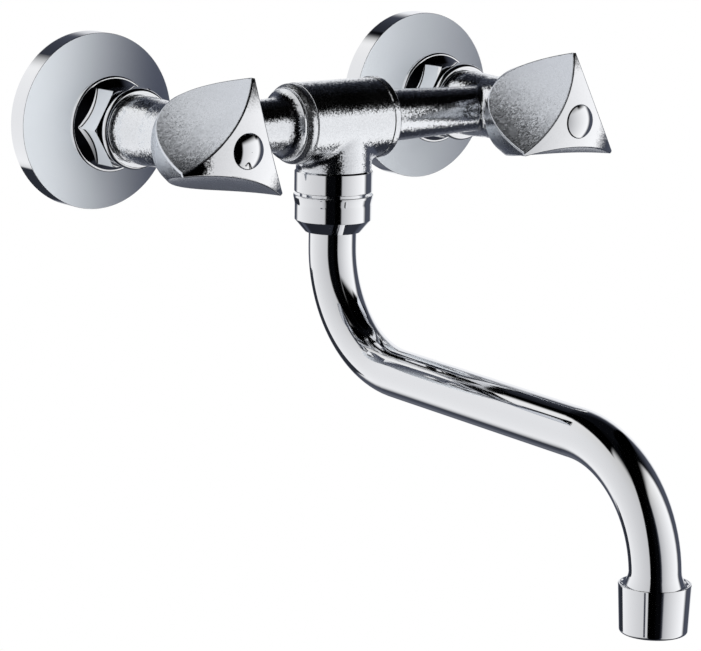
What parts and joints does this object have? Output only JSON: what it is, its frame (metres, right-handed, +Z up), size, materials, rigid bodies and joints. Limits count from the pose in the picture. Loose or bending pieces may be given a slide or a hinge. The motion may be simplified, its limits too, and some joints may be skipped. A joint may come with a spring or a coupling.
{
  "type": "wall-mounted mixer tap",
  "caption": "Chromed wall-mounted bridge mixer tap with two three-sided handles, screw-down valves and a long swivel spout with an aerator nozzle.",
  "frame": {"origin": "on the finished wall's plane, midway between the two valve axes", "axes": "+X along the bar to the right as the user sees it, +Y into the wall, +Z up"},
  "size_m": [0.2136, 0.2522, 0.1822],
  "materials": {
    "polished_chrome": "mirror polished chrome plate",
    "satin_chrome": "fine satin chrome plate over cast brass",
    "raw_brass": "machined brass",
    "black_rubber": "moulded rubber",
    "fibre_washer": "pressed fibre",
    "stainless_steel": "plain turned steel",
    "white_plastic": "moulded plastic"
  },
  "bodies": {
    "fixed_tap": {"wall_flange_left": "polished_chrome", "offset_union_left": "raw_brass", "union_washer_left": "fibre_washer", "union_nut_left": "polished_chrome", "inlet_tail_left": "raw_brass", "side_casting_left": "satin_chrome", "headwork_body_left": "raw_brass", "headwork_gasket_left": "fibre_washer", "wall_flange_right": "polished_chrome", "offset_union_right": "raw_brass", "union_washer_right": "fibre_washer", "union_nut_right": "polished_chrome", "inlet_tail_right": "raw_brass", "side_casting_right": "satin_chrome", "headwork_body_right": "raw_brass", "headwork_gasket_right": "fibre_washer", "lock_ring": "polished_chrome", "tee": "satin_chrome", "outlet_collar": "polished_chrome", "spout_nut": "polished_chrome", "slip_ring": "white_plastic"},
    "left_handle": {"spindle_left": "raw_brass", "spindle_seals_left": "black_rubber", "spindle_clip_left": "stainless_steel", "handle_left": "satin_chrome", "handle_screw_left": "stainless_steel", "handle_cap_left": "polished_chrome"},
    "left_plunger": {"plunger_left": "raw_brass", "seat_washer_left": "black_rubber", "washer_screw_left": "stainless_steel"},
    "right_handle": {"spindle_right": "raw_brass", "spindle_seals_right": "black_rubber", "spindle_clip_right": "stainless_steel", "handle_right": "satin_chrome", "handle_screw_right": "stainless_steel", "handle_cap_right": "polished_chrome"},
    "right_plunger": {"plunger_right": "raw_brass", "seat_washer_right": "black_rubber", "washer_screw_right": "stainless_steel"},
    "spout": {"spout_bush": "raw_brass", "spout_seals": "black_rubber", "spout_tube": "polished_chrome", "spout_nose": "polished_chrome", "nozzle_housing": "polished_chrome", "nozzle_gasket": "black_rubber", "aerator_cage": "white_plastic"}
  },
  "joints": [
    {"name": "left_handle_turn", "type": "hinge", "parent": "fixed_tap", "child": "left_handle", "pos_m": [-0.075, -0.079, 0], "axis": [0, -1, 0], "range_deg": [0, 540]},
    {"name": "left_plunger_lift", "type": "slide", "parent": "fixed_tap", "child": "left_plunger", "axis": [0, -1, 0], "range_m": [0, 0.0046]},
    {"name": "right_handle_turn", "type": "hinge", "parent": "fixed_tap", "child": "right_handle", "pos_m": [0.075, -0.079, 0], "axis": [0, -1, 0], "range_deg": [0, 540]},
    {"name": "right_plunger_lift", "type": "slide", "parent": "fixed_tap", "child": "right_plunger", "axis": [0, -1, 0], "range_m": [0, 0.0046]},
    {"name": "spout_swivel", "type": "hinge", "parent": "fixed_tap", "child": "spout", "pos_m": [0, -0.0495, -0.03], "axis": [0, 0, 1], "range_deg": [-100, 100]}
  ],
  "couplings": [
    {"joint": "left_plunger_lift", "follows": "left_handle_turn", "m_per_rad": 0.00047746},
    {"joint": "right_plunger_lift", "follows": "right_handle_turn", "m_per_rad": 0.00047746}
  ]
}
